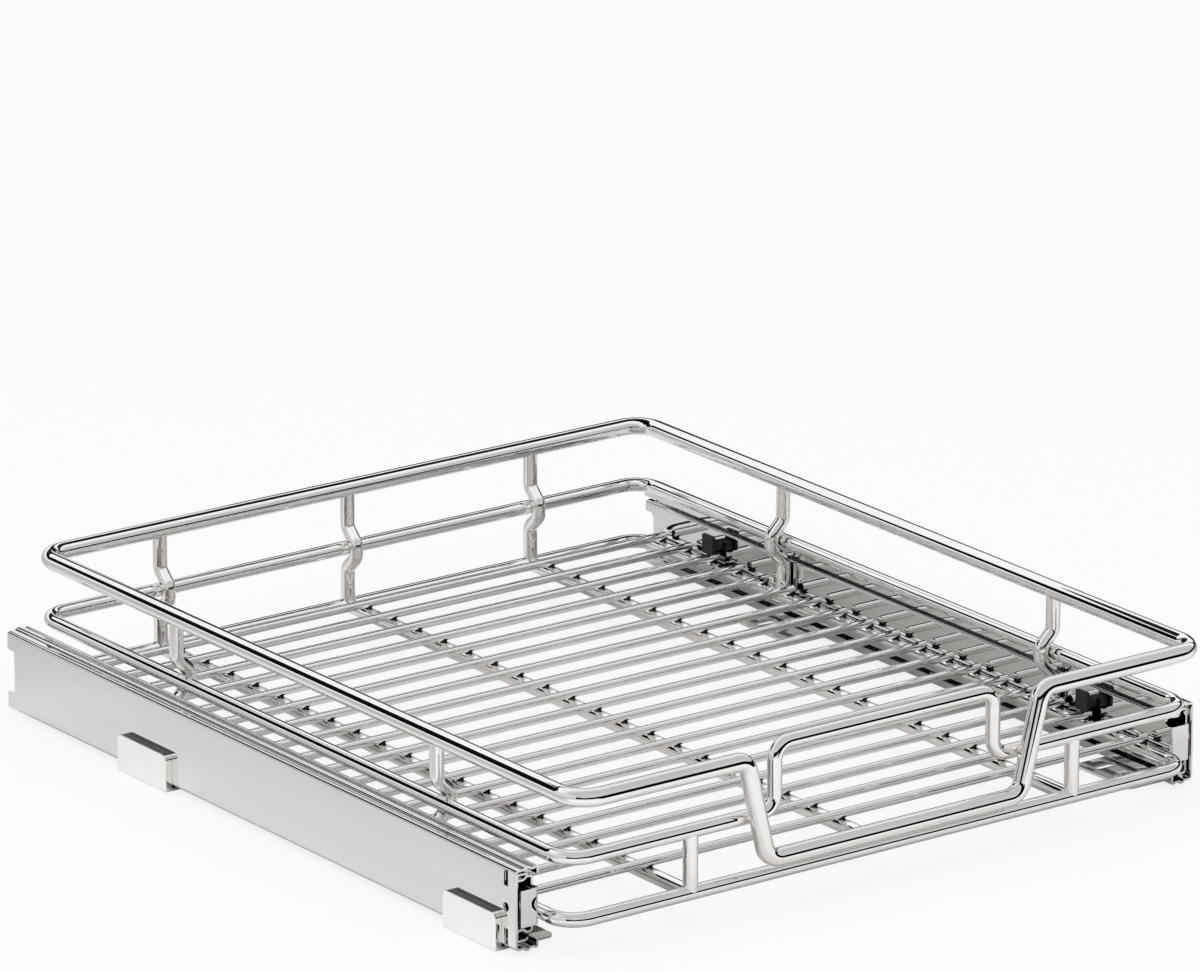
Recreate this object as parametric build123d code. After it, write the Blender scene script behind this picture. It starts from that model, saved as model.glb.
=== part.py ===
from build123d import *
import math
import os

# Slide-out pantry basket: a chromed wire basket on two ball-bearing slides that stand on the cabinet floor.
# +X is right, +Y is the back of the cabinet, +Z is up. The origin lies on the floor under the middle of the basket.
# All sizes are millimetres.

# Wire diameters
TOP_WIRE = 10.0
FRAME_WIRE = 8.0
CROSS_WIRE = 5.0
WELD_GAP = 0.03

# Basket outline, measured on the centre lines of its rings
BASKET_HALF_WIDTH = 206.25
BASKET_BACK = 249.0
BASKET_FRONT = -249.0
RING_CORNER = 14.7
BOTTOM_Z = 19.1
MID_Z = 53.2
TOP_Z = 88.4

# Dip in the front of the top rail and hump in the front of the mid rail
DIP_TOP_HALF = 98.0
DIP_BOTTOM_HALF = 84.0
DIP_Z = 30.8
DIP_TOP_BEND = 8.0
DIP_BOTTOM_BEND = 10.0
HUMP_HALF = 72.6
HUMP_Z = 89.8
HUMP_BEND = 9.0

# Rods, cross wires and posts
ROD_SPACING = 127.0
ROD_COUNT = 3
WIRE_COUNT = 19
WIRE_PITCH = 24.06
FIRST_WIRE_Y = -204.2
WIRE_OVERHANG = 1.75
SIDE_POSTS_Y = (-125.4, 116.0)
JOGGLE_FLAT = 4.0
JOGGLE_REACH = 12.0
JOGGLE_BEND = 6.0
JOGGLE_CLEARANCE = 0.1

# Slide section, measured from the outer web's back face (depth) and from the slide's middle (height)
SLIDE_HEIGHT = 44.3
SLIDE_DEPTH = 14.9
SLIDE_FRONT = -222.2
SLIDE_LENGTH = 475.3
SHEET = 1.2
BAR_CLEARANCE = 0.75
LIP_HEIGHT = 4.7
LIP_SETBACK = 0.4
LIP_EDGE = 1.9
LIP_RISE = 0.6
WEB_BEND = 0.7
FLANGE_BEND = 0.3
BALL_DIAMETER = 3.175
BALL_CLEARANCE = 0.06
MEMBER_GAP = 0.3
RACE_DEPTH = 7.4
RACE_RISE = 1.1
RACE_FLAT = 0.1
MIDDLE_TIP_DROP = 1.3
INNER_FLAT = 0.9
INNER_STEP = 1.5
INNER_LIP_BEND = 0.8

# Ball cages
CAGE_SHEET = 0.4
CAGE_LENGTH = 150.0
CAGE_MARGIN = 8.0
BALL_COUNT = 4
CAGE_WINDOW_CLEARANCE = 0.12
CAGE_EDGE = 0.8

# Travel of the basket
TRAVEL = 460.0
CAGE_SHARE = 0.25

# Ends of the slide members
REAR_RECESS = 6.8
REAR_RECESS_HALF = 12.0
LOBE_ROOT = 0.8
LOBE_TIP = 1.5
END_SLOT_WIDTH = 3.5
END_SLOT_HEIGHT = 8.7
END_SLOT_SETBACK = 8.5
END_SLOT_OFFSET = 16.0
END_HOLE_DIAMETER = 5.0
MIDDLE_FRONT_SETBACK = 2.5
MIDDLE_REAR_SETBACK = 3.1
INNER_FRONT_SETBACK = 5.5
INNER_REAR_SETBACK = 1.5
INNER_RECESS = 7.5
INNER_RECESS_HALF = 9.5
INNER_LOBE_ROOT = 3.0
TAB_HALF_HEIGHT = 10.15
TAB_REACH = 11.6

# Hooks on the inner members and the clips above them
HOOK_WIDTH = 10.0
HOOK_CLEARANCE = 0.1
HOOK_RELIEF = 0.4
HOOK_TIP_DROP = 0.6
HOOK_ROOT = 4.0
WINDOW_HEIGHT = 20.0
CLIP_WIRES = (2, 16)
CLIP_PLATE_THICKNESS = 1.8
CLIP_PLATE_WIDTH = 10.0
CLIP_PLATE_HEIGHT = 11.4
CLIP_PLATE_ROUND = 1.0
CLIP_BOSS_DIAMETER = 7.2
CLIP_CLEARANCE = 0.1
CLIP_BEHIND_BAR = 1.5
SHANK_HEIGHT = 5.0
SHANK_CLEARANCE = 0.6
BARB = 0.9

# Brackets on the cabinet floor
FOOT_SHEET = 1.6
PAD_THICKNESS = 4.0
PAD_LENGTH = 47.0
PAD_HEIGHT = 20.8
PAD_ROUND = 3.5
PAD_EDGE = 0.4
FOOT_REACH = 192.0
FOOT_ROUND = 4.0
BRACKETS_Y = {"front": -186.5, "rear": 116.0}
FOOT_HOLE_INSET = 7.7
FOOT_HOLE_SHIFT = -4.0
FOOT_HOLE_DIAMETER = 5.0
FOOT_SLOT_INSET = 12.0
FOOT_SLOT_SHIFT = 12.0
FOOT_SLOT_LENGTH = 14.0
FOOT_SLOT_WIDTH = 5.6

# Places that follow from the sizes above
SLIDE_REAR = SLIDE_FRONT + SLIDE_LENGTH
SLIDE_Z = FOOT_SHEET + WELD_GAP + RACE_RISE + SLIDE_HEIGHT / 2
SLIDE_BACK_X = BASKET_HALF_WIDTH + FRAME_WIRE / 2 + BAR_CLEARANCE + SLIDE_DEPTH
RING_FRONT = BASKET_FRONT + TOP_WIRE / 2 + FRAME_WIRE / 2 + WELD_GAP
WIRE_Z = BOTTOM_Z + FRAME_WIRE / 2 + CROSS_WIRE / 2 + WELD_GAP
CAGE_STACK = MEMBER_GAP + CAGE_SHEET + MEMBER_GAP
LIP_DEPTH = SLIDE_DEPTH - LIP_SETBACK

# Raceways: each bend beside a ball follows it at its clearance, in two arcs of 45 degrees
RACE = BALL_DIAMETER / 2 + BALL_CLEARANCE
RACE_LINE = RACE + SHEET / 2
RACE_HALF = RACE_LINE * math.tan(math.radians(45) / 2) + RACE_FLAT / 2
OUTER_FLANGE = SLIDE_HEIGHT / 2 - SHEET / 2
OUTER_BALL_Z = OUTER_FLANGE + RACE_RISE - RACE_LINE
MIDDLE_FLANGE = OUTER_BALL_Z - RACE_LINE
INNER_BALL_Z = MIDDLE_FLANGE - RACE_LINE
INNER_FLANGE = INNER_BALL_Z - RACE_LINE
SIDES = {"left": -1, "right": 1}


def bend_turns(corners, bends, closed):
    """Start, middle and end of the arc at each corner, with its centre. An open path's ends have no arc."""
    points = [Vector(*corner) for corner in corners]
    turns = []
    for index, point in enumerate(points):
        if not closed and index in (0, len(points) - 1):
            turns.append((point, None, point, None))
            continue
        back = (points[index - 1] - point).normalized()
        ahead = (points[(index + 1) % len(points)] - point).normalized()
        half_angle = math.radians(back.get_angle(ahead)) / 2
        radius = bends[index] if closed else bends[index - 1]
        reach = radius / math.tan(half_angle)
        inward = (back + ahead).normalized()
        centre = point + inward * (radius / math.sin(half_angle))
        turns.append((point + back * reach, centre - inward * radius, point + ahead * reach, centre))
    return turns


def bent_path(corners, bends):
    """Straight runs joined by tangent arcs, as an open line."""
    turns = bend_turns(corners, bends, False)
    edges = []
    for (start, middle, end, centre), (ahead, *_) in zip(turns, turns[1:] + [turns[-1]]):
        if middle is not None:
            edges.append(ThreePointArc(start, middle, end))
        if end is not ahead:
            edges.append(Line(end, ahead))
    return Wire(edges)


def wire_form(corners, bends, diameter, closed=False):
    """Round wire of straight runs joined by elbows, with one centre-line radius for each bend."""
    turns = bend_turns(corners, bends, closed)
    pieces = []
    for index, (start, middle, end, centre) in enumerate(turns):
        if centre is not None:
            before, after = start - centre, end - centre
            turning = Axis(centre, before.cross(after))
            section = Plane(origin=start, z_dir=turning.direction.cross(before)) * Circle(diameter / 2)
            pieces.append(revolve(section, turning, before.get_angle(after)))
        if closed or index < len(turns) - 1:
            pieces.append(straight_wire(end, turns[(index + 1) % len(turns)][0], diameter))
    return Part() + pieces


def straight_wire(start, end, diameter):
    """Straight round wire between two points."""
    run = Vector(*end) - Vector(*start)
    return extrude(Plane(origin=start, z_dir=run) * Circle(diameter / 2), run.length)


def strip_outline(corners, bends, thickness):
    """Section of a bent sheet, square at its ends, from its centre line in the XY plane."""
    line = bent_path(corners, bends)
    left = line.offset_2d(thickness / 2, kind=Kind.INTERSECTION, side=Side.LEFT, closed=False)
    right = line.offset_2d(thickness / 2, kind=Kind.INTERSECTION, side=Side.RIGHT, closed=False)
    if (left @ 0 - right @ 0).length > (left @ 0 - right @ 1).length:
        first, last = right @ 1, right @ 0
    else:
        first, last = right @ 0, right @ 1
    return make_face(left.edges() + right.edges() + [Line(left @ 0, first), Line(left @ 1, last)])


def save(name, shape):
    """One file for each sub-part."""
    solids = shape.solids()
    export_step(Compound(children=solids) if len(solids) > 1 else solids[0], f"parts/{name}.step")


def top_rail():
    """Closed ring with a dip in the middle of its front run."""
    corners = [
        (BASKET_HALF_WIDTH, BASKET_BACK, TOP_Z),
        (-BASKET_HALF_WIDTH, BASKET_BACK, TOP_Z),
        (-BASKET_HALF_WIDTH, BASKET_FRONT, TOP_Z),
        (-DIP_TOP_HALF, BASKET_FRONT, TOP_Z),
        (-DIP_BOTTOM_HALF, BASKET_FRONT, DIP_Z),
        (DIP_BOTTOM_HALF, BASKET_FRONT, DIP_Z),
        (DIP_TOP_HALF, BASKET_FRONT, TOP_Z),
        (BASKET_HALF_WIDTH, BASKET_FRONT, TOP_Z),
    ]
    dip = [DIP_TOP_BEND, DIP_BOTTOM_BEND, DIP_BOTTOM_BEND, DIP_TOP_BEND]
    bends = [RING_CORNER, RING_CORNER, RING_CORNER] + dip + [RING_CORNER]
    return wire_form(corners, bends, TOP_WIRE, closed=True)


def mid_rail():
    """Closed ring whose front run lies behind the dip's legs and rises to a hump between them."""
    corners = [
        (BASKET_HALF_WIDTH, BASKET_BACK, MID_Z),
        (-BASKET_HALF_WIDTH, BASKET_BACK, MID_Z),
        (-BASKET_HALF_WIDTH, RING_FRONT, MID_Z),
        (-HUMP_HALF, RING_FRONT, MID_Z),
        (-HUMP_HALF, RING_FRONT, HUMP_Z),
        (HUMP_HALF, RING_FRONT, HUMP_Z),
        (HUMP_HALF, RING_FRONT, MID_Z),
        (BASKET_HALF_WIDTH, RING_FRONT, MID_Z),
    ]
    bends = [RING_CORNER] * 3 + [HUMP_BEND] * 4 + [RING_CORNER]
    return wire_form(corners, bends, FRAME_WIRE, closed=True)


def bottom_frame():
    """Plain closed ring that stands in the hooks."""
    corners = [
        (BASKET_HALF_WIDTH, BASKET_BACK, BOTTOM_Z),
        (-BASKET_HALF_WIDTH, BASKET_BACK, BOTTOM_Z),
        (-BASKET_HALF_WIDTH, RING_FRONT, BOTTOM_Z),
        (BASKET_HALF_WIDTH, RING_FRONT, BOTTOM_Z),
    ]
    return wire_form(corners, [RING_CORNER] * len(corners), FRAME_WIRE, closed=True)


def rod_places():
    """X of the rods from front to back, spread evenly about the middle."""
    return [(index - (ROD_COUNT - 1) / 2) * ROD_SPACING for index in range(ROD_COUNT)]


def longitudinal_rods():
    """Rods butt-welded between the front and back runs of the bottom frame."""
    front = RING_FRONT + FRAME_WIRE / 2 + WELD_GAP
    back = BASKET_BACK - FRAME_WIRE / 2 - WELD_GAP
    return Compound([
        straight_wire((x, front, BOTTOM_Z), (x, back, BOTTOM_Z), FRAME_WIRE) for x in rod_places()
    ])


def wire_y(index):
    """Y of one cross wire, counted from the front."""
    return FIRST_WIRE_Y + index * WIRE_PITCH


def cross_wires():
    """Wires across the rods and the side runs of the bottom frame."""
    reach = BASKET_HALF_WIDTH + WIRE_OVERHANG
    return Compound([
        straight_wire((-reach, wire_y(index), WIRE_Z), (reach, wire_y(index), WIRE_Z), CROSS_WIRE)
        for index in range(WIRE_COUNT)
    ])


def joggled_post(x, y, inward):
    """Post under the top rail that steps round the inside of the mid rail and ends on the bottom frame."""
    top = TOP_Z - TOP_WIRE / 2 - WELD_GAP
    bottom = BOTTOM_Z + FRAME_WIRE / 2 + WELD_GAP
    step = Vector(*inward) * (FRAME_WIRE + JOGGLE_CLEARANCE)
    profile = [
        (top, 0),
        (MID_Z + JOGGLE_REACH, 0),
        (MID_Z + JOGGLE_FLAT, 1),
        (MID_Z - JOGGLE_FLAT, 1),
        (MID_Z - JOGGLE_REACH, 0),
        (bottom, 0),
    ]
    corners = [Vector(x, y, z) + step * share for z, share in profile]
    return wire_form(corners, [JOGGLE_BEND] * (len(corners) - 2), FRAME_WIRE)


def back_posts():
    """One post above the end of each rod, inside the back run."""
    return Compound([joggled_post(x, BASKET_BACK, (0, -1, 0)) for x in rod_places()])


def side_posts(side):
    """Two posts on one side bar."""
    return Compound([joggled_post(side * BASKET_HALF_WIDTH, y, (-side, 0, 0)) for y in SIDE_POSTS_Y])


def front_posts():
    """Straight posts between the front runs of the mid rail and the bottom frame."""
    bottom = BOTTOM_Z + FRAME_WIRE / 2 + WELD_GAP
    top = MID_Z - FRAME_WIRE / 2 - WELD_GAP
    return Compound([
        straight_wire((x, RING_FRONT, bottom), (x, RING_FRONT, top), FRAME_WIRE)
        for x in (rod_places()[0], rod_places()[-1])
    ])


def slide_plane(side, y):
    """Plane of a slide section: its X is the depth from the back of the outer web, its Y the height."""
    return Plane(origin=(side * SLIDE_BACK_X, y, SLIDE_Z), x_dir=(-side, 0, 0), z_dir=(0, side, 0))


def roll_formed(side, half_corners, half_bends, front, rear):
    """Member with the same bent sheet section above and below the slide's middle."""
    lower = [(depth, -height) for depth, height in reversed(half_corners)]
    corners = lower + list(half_corners)
    bends = list(reversed(half_bends)) + list(half_bends)
    section = strip_outline(corners, bends, SHEET)
    length = (rear - front) * side
    return extrude(slide_plane(side, front) * section, length)


def web_cut(side, y, height, size_y, size_z, thickness_from, thickness_to):
    """Block that cuts one opening in a web between two depths."""
    depth = thickness_to - thickness_from
    x = side * (SLIDE_BACK_X - (thickness_from + thickness_to) / 2)
    return Pos(x, y, SLIDE_Z + height) * Box(depth, size_y, size_z)


def rear_lobes(side, member, rear, depth, recess, half_height, root):
    """Cuts the web back between two lobes at its rear end, round at the lobes' roots and tips."""
    x = side * (SLIDE_BACK_X - depth)
    notch = Pos(x, rear, SLIDE_Z) * Box(SHEET * 3, recess * 2, half_height * 2)
    notch = fillet(notch.edges().filter_by(Axis.X).filter_by(lambda edge: edge.center().Y < rear), root)
    member -= notch
    tips = [
        edge for edge in member.edges().filter_by(Axis.X)
        for height in (-half_height, half_height)
        if (edge.center() - Vector(x, rear, SLIDE_Z + height)).length < SHEET / 2
    ]
    return fillet(tips, LOBE_TIP)


def outer_member(side):
    """C channel whose flanges are raised into raceways and end in turned-in lips."""
    crest = OUTER_FLANGE + RACE_RISE
    lip = LIP_DEPTH - SHEET / 2
    lip_top = OUTER_FLANGE + LIP_RISE
    corners = [
        (SHEET / 2, OUTER_FLANGE),
        (RACE_DEPTH - RACE_HALF - RACE_RISE, OUTER_FLANGE),
        (RACE_DEPTH - RACE_HALF, crest),
        (RACE_DEPTH + RACE_HALF, crest),
        (RACE_DEPTH + RACE_HALF + RACE_RISE, OUTER_FLANGE),
        (lip - LIP_EDGE, OUTER_FLANGE),
        (lip - LIP_EDGE + LIP_RISE, lip_top),
        (lip, lip_top),
        (lip, lip_top + SHEET / 2 - LIP_HEIGHT),
    ]
    small = FLANGE_BEND + SHEET / 2
    bends = [WEB_BEND + SHEET / 2, small, RACE_LINE, RACE_LINE, small, small, small, small]
    member = roll_formed(side, corners, bends, SLIDE_FRONT, SLIDE_REAR)
    member = rear_lobes(side, member, SLIDE_REAR, SHEET / 2, REAR_RECESS, REAR_RECESS_HALF, LOBE_ROOT)
    cut_from, cut_to = -SHEET, SHEET * 2
    slot_y = SLIDE_FRONT + END_SLOT_SETBACK
    for offset in (-END_SLOT_OFFSET, END_SLOT_OFFSET):
        member -= web_cut(side, slot_y, offset, END_SLOT_WIDTH, END_SLOT_HEIGHT, cut_from, cut_to)
    hole = Plane(origin=(side * SLIDE_BACK_X, slot_y, SLIDE_Z), z_dir=(side, 0, 0))
    member -= extrude(hole * Circle(END_HOLE_DIAMETER / 2), SHEET * 2, both=True)
    return member


def middle_member(side):
    """Channel beside the outer one, whose flanges run between the two rows of balls."""
    web = SHEET + CAGE_STACK + SHEET / 2
    bend = RACE_DEPTH + RACE_HALF
    corners = [
        (web, MIDDLE_FLANGE),
        (bend, MIDDLE_FLANGE),
        (bend + MIDDLE_TIP_DROP, MIDDLE_FLANGE - MIDDLE_TIP_DROP),
    ]
    front = SLIDE_FRONT + MIDDLE_FRONT_SETBACK
    rear = SLIDE_REAR - MIDDLE_REAR_SETBACK
    return roll_formed(side, corners, [WEB_BEND + SHEET / 2, RACE_LINE], front, rear)


def hook_y(index):
    """Y of one hook and its clip, under and over the end of a cross wire."""
    return wire_y(CLIP_WIRES[index])


def hook(side, y):
    """J bent out of the inner web, which goes under the side bar and up its inner side."""
    web = SLIDE_DEPTH - SHEET / 2
    bar = SLIDE_BACK_X - BASKET_HALF_WIDTH
    reach = FRAME_WIRE / 2 + HOOK_CLEARANCE + SHEET / 2
    floor = BOTTOM_Z - SLIDE_Z - reach
    tip = BOTTOM_Z - SLIDE_Z + FRAME_WIRE / 2 - HOOK_TIP_DROP
    corners = [(web, floor - HOOK_ROOT), (web, floor), (bar + reach, floor), (bar + reach, tip)]
    section = strip_outline(corners, [WEB_BEND + SHEET / 2, reach], SHEET)
    start = y - side * HOOK_WIDTH / 2
    return extrude(slide_plane(side, start) * section, HOOK_WIDTH)


def hook_window():
    """Lowest and highest height of the window that the hook leaves in the inner web."""
    floor = BOTTOM_Z - SLIDE_Z - FRAME_WIRE / 2 - HOOK_CLEARANCE - SHEET
    bottom = floor + SHEET - WEB_BEND / 2
    return bottom, bottom + WINDOW_HEIGHT


def front_tab(side):
    """Front end of the inner web, bent back towards the outer web."""
    web = SLIDE_DEPTH - SHEET / 2
    y = SLIDE_FRONT + SHEET / 2
    tip = SLIDE_DEPTH - TAB_REACH
    end = SLIDE_FRONT + INNER_FRONT_SETBACK + SHEET
    corners = [(side * (SLIDE_BACK_X - depth), place) for depth, place in ((web, end), (web, y), (tip, y))]
    section = strip_outline(corners, [WEB_BEND + SHEET / 2], SHEET)
    return extrude(Plane.XY.offset(SLIDE_Z - TAB_HALF_HEIGHT) * section, TAB_HALF_HEIGHT * 2)


def inner_member(side):
    """Channel that carries the basket, with its raceways, front tab and hooks."""
    web = SLIDE_DEPTH - SHEET / 2
    bend = RACE_DEPTH + RACE_HALF
    lip = RACE_DEPTH - RACE_LINE
    corners = [
        (web, INNER_FLANGE + INNER_STEP),
        (bend + INNER_FLAT + INNER_STEP, INNER_FLANGE + INNER_STEP),
        (bend + INNER_FLAT, INNER_FLANGE),
        (lip, INNER_FLANGE),
        (lip, INNER_BALL_Z - CAGE_SHEET / 2 - MEMBER_GAP),
    ]
    bends = [WEB_BEND + SHEET / 2, FLANGE_BEND + SHEET / 2, RACE_LINE, INNER_LIP_BEND + SHEET / 2]
    front = SLIDE_FRONT + INNER_FRONT_SETBACK
    rear = SLIDE_REAR - INNER_REAR_SETBACK
    member = roll_formed(side, corners, bends, front, rear)
    member = rear_lobes(side, member, rear, web, INNER_RECESS, INNER_RECESS_HALF, INNER_LOBE_ROOT)
    member += front_tab(side)
    low, high = hook_window()
    for index in range(len(CLIP_WIRES)):
        y = hook_y(index)
        width = HOOK_WIDTH + HOOK_RELIEF * 2
        middle = (low + high) / 2
        member -= web_cut(side, y, middle, width, high - low, SLIDE_DEPTH - SHEET * 2, SLIDE_DEPTH + SHEET)
        member += hook(side, y)
    return member


def clip(side, y):
    """Moulded clip: a plate over the wire's end, a round boss, and a shank that snaps into the hook's window."""
    wire_top = WIRE_Z + CROSS_WIRE / 2 + CLIP_CLEARANCE
    plate_face = BASKET_HALF_WIDTH - FRAME_WIRE / 2 + CLIP_BEHIND_BAR - CLIP_CLEARANCE
    plate_x = plate_face - CLIP_PLATE_THICKNESS / 2
    plate_z = wire_top + CLIP_PLATE_HEIGHT / 2
    plate = Pos(side * plate_x, y, plate_z) * Box(CLIP_PLATE_THICKNESS, CLIP_PLATE_WIDTH, CLIP_PLATE_HEIGHT)
    plate = fillet(plate.edges().filter_by(Axis.X), CLIP_PLATE_ROUND)
    web_face = SLIDE_BACK_X - SLIDE_DEPTH - CLIP_CLEARANCE
    boss_z = wire_top + CLIP_BOSS_DIAMETER / 2
    boss = straight_wire((side * plate_face, y, boss_z), (side * web_face, y, boss_z), CLIP_BOSS_DIAMETER)
    shank_top = SLIDE_Z + hook_window()[1] - CLIP_CLEARANCE
    shank_z = shank_top - SHANK_HEIGHT / 2
    behind = SLIDE_BACK_X - SLIDE_DEPTH + SHEET + CLIP_CLEARANCE
    shank_end = behind + BARB * 2
    shank_x = (web_face + shank_end) / 2
    window_width = HOOK_WIDTH + HOOK_RELIEF * 2
    shank_width = window_width - SHANK_CLEARANCE * 2
    shank = Pos(side * shank_x, y, shank_z) * Box(shank_end - web_face, shank_width, SHANK_HEIGHT)
    barb_x = (behind + shank_end) / 2
    barb = Pos(side * barb_x, y, shank_z) * Box(shank_end - behind, window_width + BARB, SHANK_HEIGHT)
    return plate + boss + shank + barb


def clips(side):
    """One clip over each hook of a side."""
    return Compound([clip(side, hook_y(index)) for index in range(len(CLIP_WIRES))])


def cage_front():
    """Front end of each cage at rest, so that it stays between its members at full travel."""
    return SLIDE_FRONT + CAGE_MARGIN + TRAVEL * CAGE_SHARE


def cage_balls_y():
    """Y of the balls in every row, spread evenly along the cage."""
    pitch = CAGE_LENGTH / BALL_COUNT
    return [cage_front() + pitch * (index + 1 / 2) for index in range(BALL_COUNT)]


def balls(side, height):
    """Two rows of balls, above and below the slide's middle."""
    x = side * (SLIDE_BACK_X - RACE_DEPTH)
    return Compound([
        Pos(x, y, SLIDE_Z + offset) * Sphere(BALL_DIAMETER / 2)
        for offset in (-height, height) for y in cage_balls_y()
    ])


def cage(side, height, web_depth):
    """Bent strip whose flanges run through the balls' middles, with one window for each ball."""
    window = BALL_DIAMETER + CAGE_WINDOW_CLEARANCE * 2
    edge = RACE_DEPTH + window / 2 + CAGE_EDGE
    corners = [(edge, -height), (web_depth, -height), (web_depth, height), (edge, height)]
    section = strip_outline(corners, [CAGE_SHEET, CAGE_SHEET], CAGE_SHEET)
    strip = extrude(slide_plane(side, cage_front()) * section, CAGE_LENGTH * side)
    x = side * (SLIDE_BACK_X - RACE_DEPTH)
    for y in cage_balls_y():
        strip -= Pos(x, y, SLIDE_Z) * Box(window, window, SLIDE_HEIGHT)
    return strip


def outer_cage(side):
    """Cage between the outer and the middle member."""
    return cage(side, OUTER_BALL_Z, SHEET + MEMBER_GAP + CAGE_SHEET / 2)


def inner_cage(side):
    """Cage between the middle and the inner member."""
    return cage(side, INNER_BALL_Z, SHEET * 2 + CAGE_STACK + MEMBER_GAP + CAGE_SHEET / 2)


def bracket(side, y):
    """Welded pad on the back of the outer member, with a foot that is screwed to the floor."""
    pad_x = SLIDE_BACK_X + WELD_GAP
    pad_plane = Plane(origin=(side * pad_x, y, 0), x_dir=(0, side, 0), z_dir=(side, 0, 0))
    pad = extrude(pad_plane * Rectangle(PAD_LENGTH, PAD_HEIGHT, align=(Align.CENTER, Align.MIN)), PAD_THICKNESS)
    upright = pad.edges().filter_by(Axis.X)
    pad = fillet(upright.filter_by(lambda edge: edge.center().Z > PAD_HEIGHT / 2), PAD_ROUND)
    outside = side * (pad_x + PAD_THICKNESS)
    face = pad.faces().filter_by(lambda found: abs(found.center().X - outside) < PAD_EDGE / 2)[0]
    pad = fillet(face.edges(), PAD_EDGE)
    foot_depth = pad_x + PAD_THICKNESS / 2 - FOOT_REACH
    foot_x = side * (FOOT_REACH + foot_depth / 2)
    foot = Pos(foot_x, y, (FOOT_SHEET - WELD_GAP) / 2) * Box(foot_depth, PAD_LENGTH, FOOT_SHEET - WELD_GAP)
    ends = foot.edges().filter_by(Axis.Z)
    foot = fillet(ends.filter_by(lambda edge: abs(edge.center().X) < FOOT_REACH + FOOT_ROUND), FOOT_ROUND)
    shape = pad + foot
    hole_y = y + FOOT_HOLE_SHIFT
    shape -= Pos(side * (FOOT_REACH + FOOT_HOLE_INSET), hole_y, 0) * Cylinder(FOOT_HOLE_DIAMETER / 2, FOOT_SHEET * 3)
    slot = SlotOverall(FOOT_SLOT_LENGTH, FOOT_SLOT_WIDTH)
    shape -= Pos(side * (FOOT_REACH + FOOT_SLOT_INSET), y + FOOT_SLOT_SHIFT, 0) * extrude(slot, FOOT_SHEET * 3, both=True)
    return shape


os.makedirs("parts", exist_ok=True)
save("top_rail", top_rail())
save("mid_rail", mid_rail())
save("bottom_frame", bottom_frame())
save("longitudinal_rods", longitudinal_rods())
save("cross_wires", cross_wires())
save("back_posts", back_posts())
save("front_posts", front_posts())
for name, side in SIDES.items():
    save(f"{name}_posts", side_posts(side))
    save(f"outer_member_{name}", outer_member(side))
    save(f"middle_member_{name}", middle_member(side))
    save(f"inner_member_{name}", inner_member(side))
    save(f"clips_{name}", clips(side))
    save(f"outer_cage_{name}", outer_cage(side))
    save(f"inner_cage_{name}", inner_cage(side))
    save(f"outer_balls_{name}", balls(side, OUTER_BALL_Z))
    save(f"inner_balls_{name}", balls(side, INNER_BALL_Z))
    for end, place in BRACKETS_Y.items():
        save(f"bracket_{end}_{name}", bracket(side, place))
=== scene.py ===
import math

import bmesh
import bpy
import numpy as np
from mathutils import Matrix, Vector


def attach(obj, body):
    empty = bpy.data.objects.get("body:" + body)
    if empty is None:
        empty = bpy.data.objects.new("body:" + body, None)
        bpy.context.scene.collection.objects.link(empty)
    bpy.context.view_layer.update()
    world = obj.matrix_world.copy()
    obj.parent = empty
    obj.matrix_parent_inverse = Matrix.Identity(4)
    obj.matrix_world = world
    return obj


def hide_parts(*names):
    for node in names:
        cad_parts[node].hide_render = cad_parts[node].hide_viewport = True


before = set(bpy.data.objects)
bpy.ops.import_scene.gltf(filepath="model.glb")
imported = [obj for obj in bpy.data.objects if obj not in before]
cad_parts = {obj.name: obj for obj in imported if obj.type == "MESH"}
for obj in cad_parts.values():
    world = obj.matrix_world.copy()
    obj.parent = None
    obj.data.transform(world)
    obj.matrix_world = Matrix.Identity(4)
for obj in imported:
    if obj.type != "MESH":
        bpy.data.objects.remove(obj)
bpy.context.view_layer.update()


# Top rail, mid rail and bottom frame: closed rings of drawn steel wire, 10 and 8 mm thick, bent cold.
# They are welded to the rest of the basket, which is then bright chrome plated: a mirror with faint ripples of a
# few millimetres from the drawn wire. The top rail is a hair thinner here, to stay inside the CAD model's box.
def linear(code):
    """sRGB hex as linear RGBA: c/12.92 below 0.04045, else ((c + 0.055)/1.055)^2.4."""
    share = [int(code[at:at + 2], 16) / 255 for at in (1, 3, 5)]
    return (*[c / 12.92 if c <= 0.04045 else ((c + 0.055) / 1.055) ** 2.4 for c in share], 1.0)


def add(owner, kind, settings=None):
    """Adds one node to a material or world and returns it.

    Each setting names a property or a socket, by its name or number. A socket takes a constant, another node's
    output, or another node, which stands for its first output in use. A ramp's "stops" are (place, hex colour).
    """
    made = owner.node_tree.nodes.new(kind)
    for key, value in (settings or {}).items():
        if key == "stops":
            band = made.color_ramp
            while len(band.elements) < len(value):
                band.elements.new(0.5)
            for element, (place, code) in zip(band.elements, value):
                element.position, element.color = place, linear(code)
        elif isinstance(value, (bpy.types.Node, bpy.types.NodeSocket)):
            if isinstance(value, bpy.types.Node):
                value = next(socket for socket in value.outputs if socket.enabled)
            owner.node_tree.links.new(value, made.inputs[key])
        elif isinstance(key, int) or key in made.inputs:
            made.inputs[key].default_value = value
        else:
            setattr(made, key, value)
    return made


def blank(name):
    """Material without nodes, and the point on the object that its nodes start from."""
    material = bpy.data.materials.new(name)
    material.use_nodes = True
    material.node_tree.nodes.clear()
    return material, add(material, "ShaderNodeTexCoord").outputs["Object"]


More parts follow.
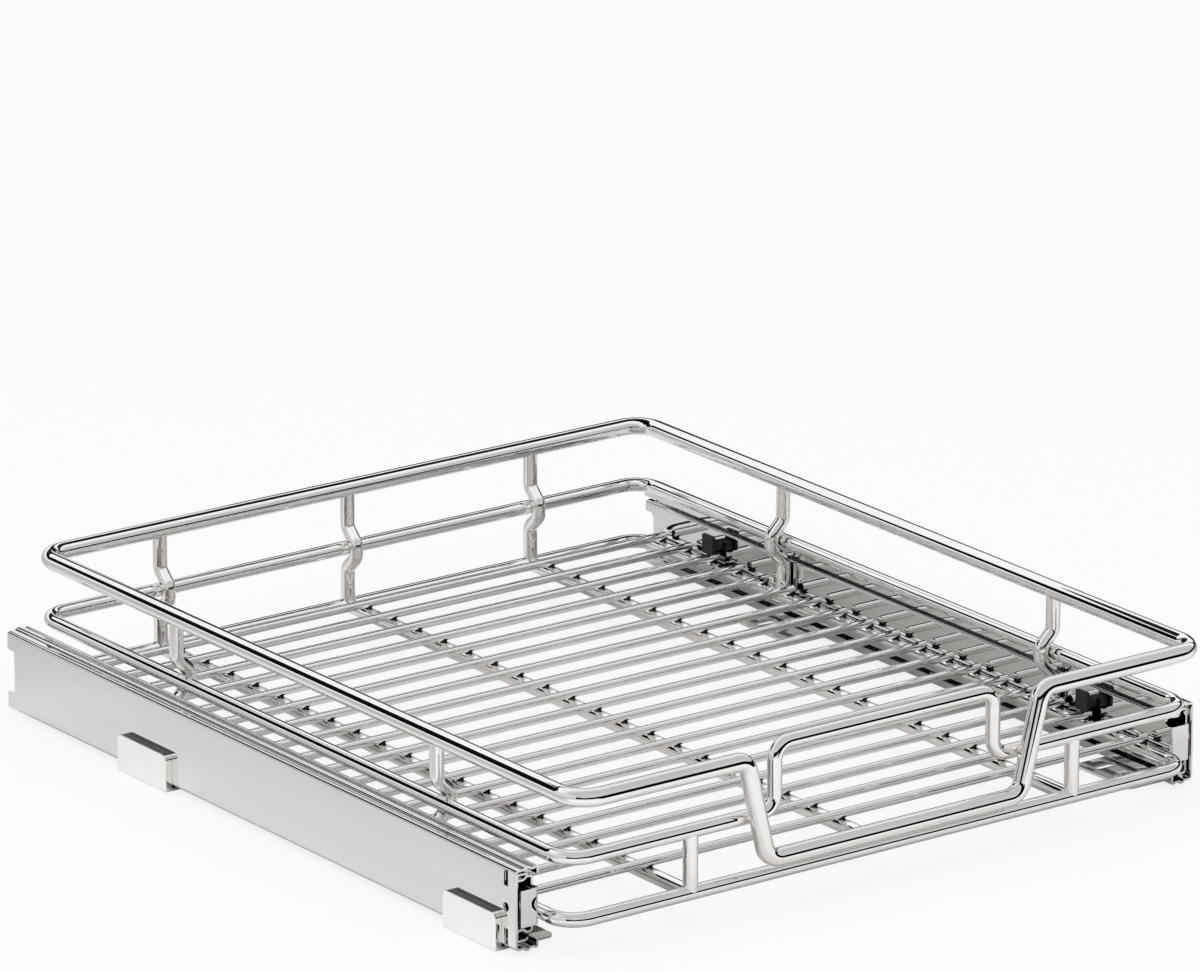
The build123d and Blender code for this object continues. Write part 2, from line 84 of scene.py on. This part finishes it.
def finish_of(name, metallic, stretch, colours, rough, bump, grain):
    """Metal or plastic whose colour, roughness and relief follow noise: the material and its shader node.

    colours are the lighter and the darker tone, rough the least and most roughness, and bump the relief's
    strength and height in metres. grain is the number of fine grains in a metre, and stretch multiplies it
    along x, y and z.
    """
    patch_grains = 14
    material, place = blank(name)
    mapped = add(material, "ShaderNodeMapping", {"Vector": place, "Scale": stretch})
    fine = add(material, "ShaderNodeTexNoise",
               {"Vector": mapped, "Scale": grain, "Detail": 6.0, "Roughness": 0.6}).outputs["Fac"]
    broad = add(material, "ShaderNodeTexNoise",
                {"Vector": mapped, "Scale": grain / patch_grains, "Detail": 3.0}).outputs["Fac"]
    colour = add(material, "ShaderNodeValToRGB",
                 {"Fac": broad, "stops": [(0.3, colours[1]), (0.62, colours[0])]})
    gloss = add(material, "ShaderNodeMapRange",
                {"Value": fine, "From Min": 0.3, "From Max": 0.7, "To Min": rough[0], "To Max": rough[1]})
    relief = add(material, "ShaderNodeBump", {"Height": fine, "Strength": bump[0], "Distance": bump[1]})
    surface = add(material, "ShaderNodeBsdfPrincipled",
                  {"Base Color": colour, "Metallic": metallic, "Roughness": gloss, "Normal": relief})
    add(material, "ShaderNodeOutputMaterial", {"Surface": surface})
    return material, surface


def bend_line(corners, radii, closed=False, steps=10):
    """Points along straight runs joined by tangent arcs.

    At a corner with unit directions a and b to its neighbours and half angle h between them, the arc's centre
    is c = p + (a + b)/|a + b| r/sin h, and it runs from p + a r/tan h to p + b r/tan h.
    """
    corners = [np.array(corner, float) for corner in corners]
    line = []
    for index, point in enumerate(corners):
        if not closed and index in (0, len(corners) - 1):
            line.append(point[None])
            continue
        back = corners[index - 1] - point
        ahead = corners[(index + 1) % len(corners)] - point
        back, ahead = back / np.linalg.norm(back), ahead / np.linalg.norm(ahead)
        half = math.acos(np.clip(back @ ahead, -1, 1)) / 2
        radius = radii[index] if closed else radii[index - 1]
        inward = (back + ahead) / np.linalg.norm(back + ahead)
        centre = point + inward * radius / math.sin(half)
        start = point + back * radius / math.tan(half) - centre
        end = point + ahead * radius / math.tan(half) - centre
        turn = math.pi - 2 * half
        share = np.linspace(0, 1, steps + 1)[:, None]
        swept = np.sin((1 - share) * turn) * start + np.sin(share * turn) * end
        line.append(centre + swept / math.sin(turn))
    return np.vstack(line)


def as_object(name, vertices, faces, normals, material, body, replaced=()):
    """Mesh object from vertex, face and normal arrays, which rides on a body and may stand for CAD nodes."""
    mesh = bpy.data.meshes.new(name)
    mesh.from_pydata(vertices.tolist(), [], faces)
    mesh.polygons.foreach_set("use_smooth", np.ones(len(mesh.polygons), bool))
    mesh.normals_split_custom_set_from_vertices(normals.tolist())
    mesh.materials.append(material)
    made = bpy.data.objects.new(name, mesh)
    bpy.context.scene.collection.objects.link(made)
    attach(made, body)
    if replaced:
        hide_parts(*replaced)


def tube(line, radius, closed=False, sides=40, edge=0.0003):
    """Vertices, faces and normals of a round wire: p(s, a) = line(s) + r (u(s) cos a + v(s) sin a).

    u and v are carried along the line without twisting. A cut end has a rounded edge and a flat face.
    """
    count = len(line)
    tangent = np.roll(line, -1, 0) - np.roll(line, 1, 0)
    if not closed:
        tangent[0], tangent[-1] = line[1] - line[0], line[-1] - line[-2]
    tangent /= np.linalg.norm(tangent, axis=1)[:, None]
    side = np.cross(tangent[0], (0.31, 0.27, 0.91))
    sideways = []
    for along in tangent:
        side = side - along * (side @ along)
        side = side / np.linalg.norm(side)
        sideways.append(side)
    u = np.array(sideways)
    radii = np.full(count, radius)
    lean = np.zeros(count)
    if not closed:
        step = edge * (1 - math.sqrt(0.5))
        outward = np.array([-tangent[0], tangent[-1]])
        ends = [line[0], line[-1]]
        first = [ends[0], ends[0] - outward[0] * step, ends[0] - outward[0] * edge]
        last = [ends[1] - outward[1] * edge, ends[1] - outward[1] * step, ends[1]]
        line = np.vstack([first, line[1:-1], last])
        u = np.vstack([u[:1]] * 3 + [u[1:-1]] + [u[-1:]] * 3)
        tangent = np.vstack([tangent[:1]] * 3 + [tangent[1:-1]] + [tangent[-1:]] * 3)
        radii = np.concatenate([[radius - edge, radius - step, radius], radii[1:-1],
                                [radius, radius - step, radius - edge]])
        lean = np.concatenate([[-90, -45, 0], lean[1:-1], [0, 45, 90]]) * math.pi / 180
    else:
        gap = math.atan2(np.cross(u[-1], u[0]) @ tangent[0], u[-1] @ u[0])
        turn = np.linspace(0, gap, len(line))[:, None]
        u = u * np.cos(turn) + np.cross(tangent, u) * np.sin(turn)
    v = np.cross(tangent, u)
    angle = np.linspace(0, 2 * np.pi, sides, endpoint=False)
    ring = u[:, None] * np.cos(angle)[None, :, None] + v[:, None] * np.sin(angle)[None, :, None]
    vertices = (line[:, None] + ring * radii[:, None, None]).reshape(-1, 3)
    lean = lean[:, None, None]
    normals = (ring * np.cos(lean) + tangent[:, None] * np.sin(lean)).reshape(-1, 3)
    rows = np.arange(len(line) if closed else len(line) - 1)
    grid = (rows[:, None] * sides + np.arange(sides)[None]).ravel()
    beside = (rows[:, None] * sides + (np.arange(sides)[None] + 1) % sides).ravel()
    total = len(vertices)
    faces = np.stack([grid, beside, (beside + sides) % total, (grid + sides) % total], 1).tolist()
    if not closed:
        faces += [list(range(sides))[::-1], list(range(total - sides, total))]
    return vertices, faces, normals


def joined(parts):
    """One vertex array, face list and normal array from several."""
    faces, offset = [], 0
    for points, polygons, _ in parts:
        faces += [[index + offset for index in polygon] for polygon in polygons]
        offset += len(points)
    return np.vstack([part[0] for part in parts]), faces, np.vstack([part[2] for part in parts])


mm = 0.001
half_width, back_y, front_y, ring_corner = 206.25 * mm, 249 * mm, -249 * mm, 14.7 * mm
top_z, mid_z, bottom_z = 88.4 * mm, 53.2 * mm, 19.1 * mm
top_r, frame_r = 5 * mm, 4 * mm
box_margin, weld_gap = 0.02 * mm, 0.03 * mm
ring_front = front_y + top_r + frame_r + weld_gap
chrome, _ = finish_of("bright chrome plate", 1.0, (1, 1, 1), ("#FAF9F8", "#F5F3F2"), (0.008, 0.022),
                      (0.008, 0.0001), 260)

dip_half, dip_foot, dip_z = 98 * mm, 84 * mm, 30.8 * mm
dip_upper_bend, dip_lower_bend = 8 * mm, 10 * mm
top_line = bend_line(
    [(half_width, back_y, top_z), (-half_width, back_y, top_z), (-half_width, front_y, top_z),
     (-dip_half, front_y, top_z), (-dip_foot, front_y, dip_z), (dip_foot, front_y, dip_z),
     (dip_half, front_y, top_z), (half_width, front_y, top_z)],
    [ring_corner] * 3 + [dip_upper_bend, dip_lower_bend, dip_lower_bend, dip_upper_bend] + [ring_corner],
    closed=True)
as_object("top_rail_wire", *tube(top_line, top_r - box_margin, closed=True), chrome, "basket", ["top_rail"])

hump_half, hump_z, hump_bend = 72.6 * mm, 89.8 * mm, 9 * mm
mid_line = bend_line(
    [(half_width, back_y, mid_z), (-half_width, back_y, mid_z), (-half_width, ring_front, mid_z),
     (-hump_half, ring_front, mid_z), (-hump_half, ring_front, hump_z), (hump_half, ring_front, hump_z),
     (hump_half, ring_front, mid_z), (half_width, ring_front, mid_z)],
    [ring_corner] * 3 + [hump_bend] * 4 + [ring_corner], closed=True)
as_object("mid_rail_wire", *tube(mid_line, frame_r, closed=True), chrome, "basket", ["mid_rail"])

bottom_line = bend_line(
    [(half_width, back_y, bottom_z), (-half_width, back_y, bottom_z), (-half_width, ring_front, bottom_z),
     (half_width, ring_front, bottom_z)], [ring_corner] * 4, closed=True)
as_object("bottom_frame_wire", *tube(bottom_line, frame_r, closed=True), chrome, "basket", ["bottom_frame"])


# Three 8 mm floor rods, nineteen 5 mm cross wires and eleven 8 mm posts, all of the same chromed wire.
# They are cut to length, and their ends are welded onto the rings, so each end is sunk out of sight there.
# The cross wires lie on the rods and on the bottom frame's sides.
rods_x = [-127 * mm, 0.0, 127 * mm]
sunk = 3 * mm
rod_front, rod_back = ring_front + frame_r - sunk, back_y - frame_r + sunk
rods = [tube(np.array([(x, rod_front, bottom_z), (x, rod_back, bottom_z)]), frame_r) for x in rods_x]
as_object("floor_rods", *joined(rods), chrome, "basket", ["longitudinal_rods"])

cross_r, wire_overhang = 2.5 * mm, 1.75 * mm
wire_count, first_wire_y, wire_pitch = 19, -204.2, 24.06
wire_z = bottom_z + frame_r + cross_r + weld_gap
wires_y = [(first_wire_y + wire_pitch * index) * mm for index in range(wire_count)]
wire_reach = half_width + wire_overhang
cross = [tube(np.array([(-wire_reach, y, wire_z), (wire_reach, y, wire_z)]), cross_r, sides=28)
         for y in wires_y]
as_object("floor_wires", *joined(cross), chrome, "basket", ["cross_wires"])


def post(x, y, inward):
    """Post that steps round the inside of the mid rail, with its ends sunk in bottom frame and top rail."""
    depth, outer_level, inner_level, bend = 8.1 * mm, 12 * mm, 4 * mm, 6 * mm
    step = np.array(inward) * depth
    base = np.array([x, y, 0])
    levels = [(top_z - top_r + sunk, 0), (mid_z + outer_level, 0), (mid_z + inner_level, 1),
              (mid_z - inner_level, 1), (mid_z - outer_level, 0), (bottom_z + frame_r - sunk, 0)]
    corners = [base + (0, 0, z) + step * share for z, share in levels]
    return tube(bend_line(corners, [bend] * 4, steps=8), frame_r)


side_posts_y = [-125.4 * mm, 116 * mm]
back_posts = [post(x, back_y, (0, -1, 0)) for x in rods_x]
as_object("back_post_wires", *joined(back_posts), chrome, "basket", ["back_posts"])
for name, side in (("left", -1), ("right", 1)):
    posts = [post(side * half_width, y, (-side, 0, 0)) for y in side_posts_y]
    as_object(f"{name}_post_wires", *joined(posts), chrome, "basket", [f"{name}_posts"])
foot_z, head_z = bottom_z + frame_r - sunk, mid_z - frame_r + sunk
front_posts = [tube(np.array([(x, ring_front, foot_z), (x, ring_front, head_z)]), frame_r)
               for x in (rods_x[0], rods_x[-1])]
as_object("front_post_wires", *joined(front_posts), chrome, "basket", ["front_posts"])


# Resistance welds of the basket: a small collar of fused steel between two wires at each crossing.
# It is plated over with the wire and pitted, but its near-black colour is painted shade and painted reflection of
# the narrow gap round it.
weld_painted_shade, _ = finish_of("weld collars with painted shade", 1.0, (1, 1, 1), ("#3A3837", "#1E1D1C"), (0.05, 0.12),
                          (0.1, 0.0002), 900)


def neck(centre, axis, waist, reach, flare, sides=16, rows=7):
    """Waisted collar about an axis: r(t) = waist + flare t^2 for t from -1 to 1, at centre + axis reach t.

    Its normal leans against the axis by dr/dt: radial reach - axis 2 flare t.
    """
    centre, axis = np.array(centre, float), np.array(axis, float)
    u = np.cross(axis, (0.3, 0.5, 0.81))
    u /= np.linalg.norm(u)
    v = np.cross(axis, u)
    around = np.linspace(0, 2 * np.pi, sides, endpoint=False)
    t, a = np.meshgrid(np.linspace(-1, 1, rows), around, indexing="ij")
    r = waist + flare * t ** 2
    radial = u * np.cos(a)[..., None] + v * np.sin(a)[..., None]
    points = (centre + axis * (reach * t)[..., None] + radial * r[..., None]).reshape(-1, 3)
    normals = (radial * reach - axis * (2 * flare * t)[..., None]).reshape(-1, 3)
    normals /= np.linalg.norm(normals, axis=1)[:, None]
    grid = (np.arange(rows - 1)[:, None] * sides + np.arange(sides)[None]).ravel()
    beside = (np.arange(rows - 1)[:, None] * sides + (np.arange(sides)[None] + 1) % sides).ravel()
    return points, np.stack([grid, beside, beside + sides, grid + sides], 1).tolist(), normals


floor_neck = {"waist": 2.0 * mm, "reach": 1.1 * mm, "flare": 0.8 * mm}
leg_neck = {"waist": 1.6 * mm, "reach": 1.0 * mm, "flare": 1.1 * mm}
crossing_z = bottom_z + frame_r
necks = [neck((x, y, crossing_z), (0, 0, 1), **floor_neck)
         for x in [-half_width] + rods_x + [half_width] for y in wires_y]
dip_rise = (mid_z - dip_z) / (top_z - dip_z)
leg_x = dip_foot + (dip_half - dip_foot) * dip_rise
leg_y = front_y + top_r
necks += [neck((side * leg_x, leg_y, mid_z), (0, 1, 0), **leg_neck) for side in (-1, 1)]
# The collars carry the painted shade of the crossings.
as_object("weld_necks_with_painted_shade", *joined(necks), weld_painted_shade, "basket")


# Outer, middle and inner members of the two slides: channels roll-formed from zinc-plated steel strip.
# The plating is bright, with faint lines that the rollers leave along the run, and the sheared edges are rounded.
# Real roller lines are finer than a pixel, so they are drawn about a millimetre apart.
zinc, _ = finish_of("bright zinc plate on rolled strip", 1.0, (14, 1, 14), ("#EAE9E8", "#E6E5E4"),
                    (0.01, 0.025), (0.02, 0.00005), 60)


def rounded_copy(node, material, body, edge, sharp=35):
    """Merged copy of a CAD node with its sharp edges rounded by a small bevel, shown in its place.

    edge is the bevel's width, and sharp the angle in degrees from which an edge gets one.
    """
    same_point, same_plane, crease = 1e-6, math.radians(0.8), math.radians(28)
    shape = bmesh.new()
    shape.from_mesh(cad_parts[node].data)
    bmesh.ops.remove_doubles(shape, verts=shape.verts, dist=same_point)
    bmesh.ops.dissolve_limit(shape, angle_limit=same_plane, verts=shape.verts, edges=shape.edges)
    if edge:
        corners = [e for e in shape.edges if e.is_manifold and e.calc_face_angle() > math.radians(sharp)]
        bmesh.ops.bevel(shape, geom=corners, offset=edge, segments=2, profile=0.5, affect="EDGES",
                        clamp_overlap=True)
    for face in shape.faces:
        face.smooth = True
    for e in shape.edges:
        e.smooth = not e.is_manifold or e.calc_face_angle() < crease
    mesh = bpy.data.meshes.new(f"{node}_finished")
    shape.to_mesh(mesh)
    shape.free()
    if "custom_normal" in mesh.attributes:
        mesh.attributes.remove(mesh.attributes["custom_normal"])
    mesh.materials.clear()
    mesh.materials.append(material)
    made = bpy.data.objects.new(f"{node}_finished", mesh)
    bpy.context.scene.collection.objects.link(made)
    weighted = made.modifiers.new("flat faces", "WEIGHTED_NORMAL")
    weighted.keep_sharp, weighted.weight = True, 100
    settled = bpy.data.meshes.new_from_object(made.evaluated_get(bpy.context.evaluated_depsgraph_get()))
    made.modifiers.clear()
    made.data = settled
    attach(made, body)
    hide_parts(node)


sides, sheared_edge = ("left", "right"), 0.15 * mm
for side in sides:
    rounded_copy(f"outer_member_{side}", zinc, "cabinet_rails", sheared_edge)
    rounded_copy(f"middle_member_{side}", zinc, f"middle_{side}", sheared_edge)
    rounded_copy(f"inner_member_{side}", zinc, "basket", sheared_edge)


# Ball cages, pressed from thin bare steel strip, and the bearing balls that they space between the members.
# The strip is dull with fine scratches, and the balls are polished, under a faint haze of grease.
strip, _ = finish_of("bare steel cage strip", 0.9, (1, 1, 1), ("#B9B8B6", "#A2A19F"), (0.28, 0.45),
                     (0.08, 0.0002), 300)
ball_steel, _ = finish_of("polished bearing steel", 1.0, (1, 1, 1), ("#CFCFD3", "#C2C2C7"), (0.03, 0.08),
                          (0.01, 0.0001), 500)
for side in sides:
    for layer in ("outer", "inner"):
        rounded_copy(f"{layer}_cage_{side}", strip, f"{layer}_cage_set_{side}", 0.05 * mm)
        rounded_copy(f"{layer}_balls_{side}", ball_steel, f"{layer}_cage_set_{side}", 0)


# Floor brackets of pressed steel: a thick pad welded to the outer member's back, and a foot under the slide.
# Zinc plated and bright, but the pressed flats scatter some light: the pads' faces most, level faces a little.
pressed, plated = finish_of("bright zinc plate on pressed steel", 1.0, (1, 1, 1), ("#FBFAF9", "#F6F5F3"),
                            (0.03, 0.07), (0.02, 0.0001), 220)
facing = add(pressed, "ShaderNodeNewGeometry").outputs["True Normal"]
facing = add(pressed, "ShaderNodeSeparateXYZ", {"Vector": facing}).outputs
sideways = add(pressed, "ShaderNodeMath", {"operation": "ABSOLUTE", 0: facing["X"]})
on_pads, on_level = [add(pressed, "ShaderNodeMapRange",
                         {"Value": share, "From Min": 0.9, "From Max": 0.97, "To Min": 1.0, "To Max": metallic})
                     for share, metallic in ((sideways, 0.45), (facing["Z"], 0.88))]
metallic = add(pressed, "ShaderNodeMath", {"operation": "MINIMUM", 0: on_pads, 1: on_level})
pressed.node_tree.links.new(metallic.outputs["Value"], plated.inputs["Metallic"])
for side in sides:
    for end in ("front", "rear"):
        rounded_copy(f"bracket_{end}_{side}", pressed, "cabinet_rails", 0.2 * mm)


# Clips: small blocks of black nylon, injection moulded, which snap into the inner members above the hooks.
# The surface is fine grained and half matt, with the rounded edges that a mould gives.
black, _ = finish_of("black moulded nylon", 0.0, (1, 1, 1), ("#0B0B0B", "#060606"), (0.3, 0.45),
                     (0.15, 0.0002), 700)
for side in sides:
    rounded_copy(f"clips_{side}", black, "basket", 0.25 * mm)


# Studio floor: white paper under soft light, which the camera sees as plain white with a soft shadow.
# Polished metal mirrors a floor whose tones are painted shade: light some way out, a painted shadow close to the
# basket and under it, and painted black in front of it on the right.
def quad(name, corners, material):
    """Flat four-cornered stage piece."""
    mesh = bpy.data.meshes.new(name)
    mesh.from_pydata(corners, [], [(0, 1, 2, 3)])
    mesh.materials.append(material)
    made = bpy.data.objects.new(name, mesh)
    bpy.context.scene.collection.objects.link(made)
    return made


paper, ground = blank("white paper")
route = add(paper, "ShaderNodeLightPath").outputs
sheet = add(paper, "ShaderNodeBsdfDiffuse", {"Color": linear("#FBFBFB")})
white = add(paper, "ShaderNodeEmission", {"Color": linear("#FCFCFC"), "Strength": 1.0})
lifted = add(paper, "ShaderNodeMath", {"operation": "MULTIPLY", 0: route["Is Camera Ray"], 1: 0.85})
seen = add(paper, "ShaderNodeMixShader", {"Fac": lifted, 1: sheet, 2: white})

# away is the distance from a core rectangle under the basket, and signed is below 0 inside that.
core = (0.2, 0.225, 0.0)
folded = add(paper, "ShaderNodeVectorMath", {"operation": "ABSOLUTE", 0: ground})
beyond = add(paper, "ShaderNodeVectorMath", {"operation": "SUBTRACT", 0: folded, 1: core})
outside = add(paper, "ShaderNodeVectorMath", {"operation": "MAXIMUM", 0: beyond, 1: (0.0, 0.0, 0.0)})
away = add(paper, "ShaderNodeVectorMath", {"operation": "LENGTH", 0: outside})
# Painted shadow round the basket, seen only in reflections: darkest at its edge, light a few centimetres out,
# greyer far off.
side_painted_shade_stops = [(0.0, "#AFADAB"), (0.026, "#D0CFCE"), (0.034, "#F8F7F6"), (0.06, "#EEEDEC"),
              (0.1, "#E2E1E0"), (0.14, "#D8D7D6"), (0.25, "#C2C0BF"), (0.6, "#BAB8B7")]
front_painted_shade_stops = [(0.0, "#AFADAA"), (0.03, "#CBC9C7"), (0.06, "#DEDCDB"), (0.11, "#F0EFEE"),
               (0.36, "#F5F4F4"), (1.0, "#CCCAC8")]
painted_shade_at_side, painted_shade_at_front = [add(paper, "ShaderNodeValToRGB", {"Fac": away, "stops": stops})
                     for stops in (side_painted_shade_stops, front_painted_shade_stops)]

axes = add(paper, "ShaderNodeSeparateXYZ", {"Vector": ground}).outputs
spread = add(paper, "ShaderNodeSeparateXYZ", {"Vector": beyond}).outputs
signed = add(paper, "ShaderNodeMath", {"operation": "MAXIMUM", 0: spread["X"], 1: spread["Y"]})
# Masks for the painted shade: in front, under the basket, and the painted black patch in front on the right.
in_front, inside, far_front, on_right = [
    add(paper, "ShaderNodeMapRange", {"Value": place, "From Min": start, "From Max": end})
    for place, start, end in ((axes["Y"], -0.22, -0.3), (signed, -0.02, -0.08),
                              (axes["Y"], -0.55, -0.59), (axes["X"], -0.08, 0.0))]
unlit = add(paper, "ShaderNodeMath", {"operation": "MULTIPLY", 0: far_front, 1: on_right})
# tone is the floor colour with the painted shade and painted black patch, which only glossy rays see.
tone = painted_shade_at_side
for share, colour in ((in_front, painted_shade_at_front), (inside, linear("#DCDAD8")), (unlit, linear("#0A0A0A"))):
    tone = add(paper, "ShaderNodeMixRGB", {"Fac": share, "Color1": tone, "Color2": colour})
mirrored = add(paper, "ShaderNodeBsdfDiffuse", {"Color": tone})
chosen = add(paper, "ShaderNodeMixShader", {"Fac": route["Is Glossy Ray"], 1: seen, 2: mirrored})
add(paper, "ShaderNodeOutputMaterial", {"Surface": chosen})
floor_half, floor_z = 4, -0.4 * mm
corners = [(x * floor_half, y * floor_half, floor_z) for x, y in ((-1, -1), (1, -1), (1, 1), (-1, 1))]
quad("floor", corners, paper)


# Reflector cards round the set, which only polished surfaces see, and the dark room between them.
# They were placed by tracing the photograph's highlights back from the wires, so each bends as it does there.
def card(name, corners, row, stops):
    """White card that only polished surfaces see, with a ramp of tones over row . (x, y, z, 1)."""
    material, place = blank(name)
    along = add(material, "ShaderNodeVectorMath", {"operation": "DOT_PRODUCT", 0: place, 1: row[:3]})
    level = add(material, "ShaderNodeMath", {"operation": "ADD", 0: along, 1: row[3]})
    tone = add(material, "ShaderNodeValToRGB", {"Fac": level, "stops": stops})
    glow = add(material, "ShaderNodeEmission", {"Color": tone, "Strength": 1.0})
    add(material, "ShaderNodeOutputMaterial", {"Surface": glow})
    made = quad(name, corners, material)
    made.visible_camera = made.visible_diffuse = made.visible_transmission = made.visible_shadow = False


def upright(first, second, bottom, top):
    """Corners of a card that stands between two (x, y) places."""
    return [(*first, bottom), (*second, bottom), (*second, top), (*first, top)]


by_height, by_depth = (0, 0, 1, 0), (0, 0.5, 0, 0.8)
overhead_z, overhead_edge = 0.54, [(-1.2, -1.6), (2.2, -1.6), (2.2, 0.195), (-1.2, 0.195)]
card("card_above", [(*corner, overhead_z) for corner in overhead_edge], by_depth,
     [(0.0, "#DCDBDB"), (0.3, "#CDCCCB"), (0.62, "#C2C1C0"), (0.7, "#CCCBCA"), (0.75, "#E6E6E5"),
      (0.84, "#FCFCFC")])
card("card_behind", upright((-0.42, 0.954), (2.6, 0.954), 0.57, 1.1), by_height,
     [(0.57, "#F6F6F6"), (0.65, "#FCFCFC")])
card("card_left", upright((-0.8, 0.45), (-0.8, 2.6), 0, 0.335), by_height,
     [(0.0, "#B1AFAD"), (0.14, "#CBC9C7"), (0.26, "#F4F4F4"), (0.33, "#FAFAFA")])
card("card_near", upright((-0.8, -0.6), (-0.8, 0.45), 0, 0.8), by_height,
     [(0.0, "#B7B5B3"), (0.2, "#D6D5D4"), (0.8, "#E4E3E2")])
card("card_low", upright((-0.8, 1.0), (0.4, 1.0), 0, 0.375), by_height,
     [(0.0, "#B1AFAD"), (0.14, "#D8D7D6"), (0.28, "#F4F4F4"), (0.375, "#FAFAFA")])

world = bpy.data.worlds.new("studio")
bpy.context.scene.world = world
world.use_nodes = True
world.node_tree.nodes.clear()
towards = add(world, "ShaderNodeTexCoord").outputs["Generated"]
far_right = add(world, "ShaderNodeVectorMath", {"operation": "DOT_PRODUCT", 0: towards, 1: (0.7, 0.7, 0.0)})
room = add(world, "ShaderNodeValToRGB", {"Fac": far_right, "stops": [(0.2, "#070707"), (0.75, "#2A2826")]})
rays = add(world, "ShaderNodeLightPath").outputs
mirrored = add(world, "ShaderNodeBackground", {"Color": room, "Strength": 1.0})
plain = add(world, "ShaderNodeBackground", {"Color": (1, 1, 1, 1), "Strength": 1.0})
soft = add(world, "ShaderNodeBackground", {"Color": (1, 1, 1, 1), "Strength": 0.82})
lit = add(world, "ShaderNodeMixShader", {"Fac": rays["Is Glossy Ray"], 1: soft, 2: mirrored})
shown = add(world, "ShaderNodeMixShader", {"Fac": rays["Is Camera Ray"], 1: lit, 2: plain})
add(world, "ShaderNodeOutputWorld", {"Surface": shown})


# Softbox: one large square lamp high on the left in front, pointed at the basket.
# It gives the soft shadow on the floor and isn't seen in the metal.
lamp_data = bpy.data.lights.new("softbox", "AREA")
lamp_data.shape = "SQUARE"
lamp_data.size = 1.6
lamp_data.energy = 17
lamp = bpy.data.objects.new("softbox", lamp_data)
lamp.location = (-0.9, -0.7, 2.2)
lamp.rotation_euler = (Vector((0, 0, 0.03)) - lamp.location).to_track_quat("-Z", "Y").to_euler()
lamp.visible_glossy = False
bpy.context.scene.collection.objects.link(lamp)


# Camera at the photograph's viewing angle, to the left in front and above, far off behind a long lens.
# Its lens, shifts, place and axes come from a fit to about forty points of the picture.
photo_width, focal_length, middle_x, middle_y = 1200, 9799, -11.75, 115.37
camera_data = bpy.data.cameras.new("camera")
camera_data.sensor_width = 36.0
camera_data.lens = focal_length / photo_width * camera_data.sensor_width
camera_data.shift_x = middle_x / photo_width
camera_data.shift_y = middle_y / photo_width
camera_data.clip_start, camera_data.clip_end = 0.1, 50.0
camera = bpy.data.objects.new("camera", camera_data)
right = Vector((0.80330, -0.59557, 0.00288))
up = Vector((0.18650, 0.25614, 0.94848))
turn = Matrix((right, up, right.cross(up))).transposed()
camera.matrix_world = Matrix.Translation((-3.00299, -4.04231, 1.77052)) @ turn.to_4x4()
bpy.context.scene.collection.objects.link(camera)
bpy.context.scene.camera = camera
bpy.context.scene.view_settings.view_transform = "Standard"
